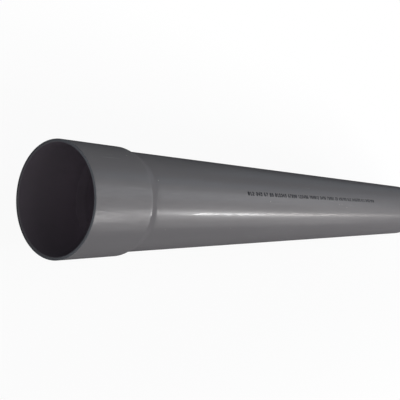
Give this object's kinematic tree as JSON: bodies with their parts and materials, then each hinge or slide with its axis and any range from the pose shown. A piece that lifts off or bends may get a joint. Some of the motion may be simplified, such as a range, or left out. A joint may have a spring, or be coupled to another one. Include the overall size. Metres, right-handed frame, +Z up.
{
  "type": "pvc electrical conduit",
  "caption": "Straight grey PVC duct pipe for electric cable, with a solvent-weld socket formed on one end and a chamfered plain end.",
  "frame": {"origin": "under the middle of the pipe's length, at the lowest point of the socket", "axes": "+X along the pipe's axis from the socket to the plain end, +Z up"},
  "size_m": [1, 0.117, 0.1172],
  "materials": {
    "pvc": "satin"
  },
  "bodies": {
    "root": {"conduit": "pvc"}
  },
  "joints": []
}
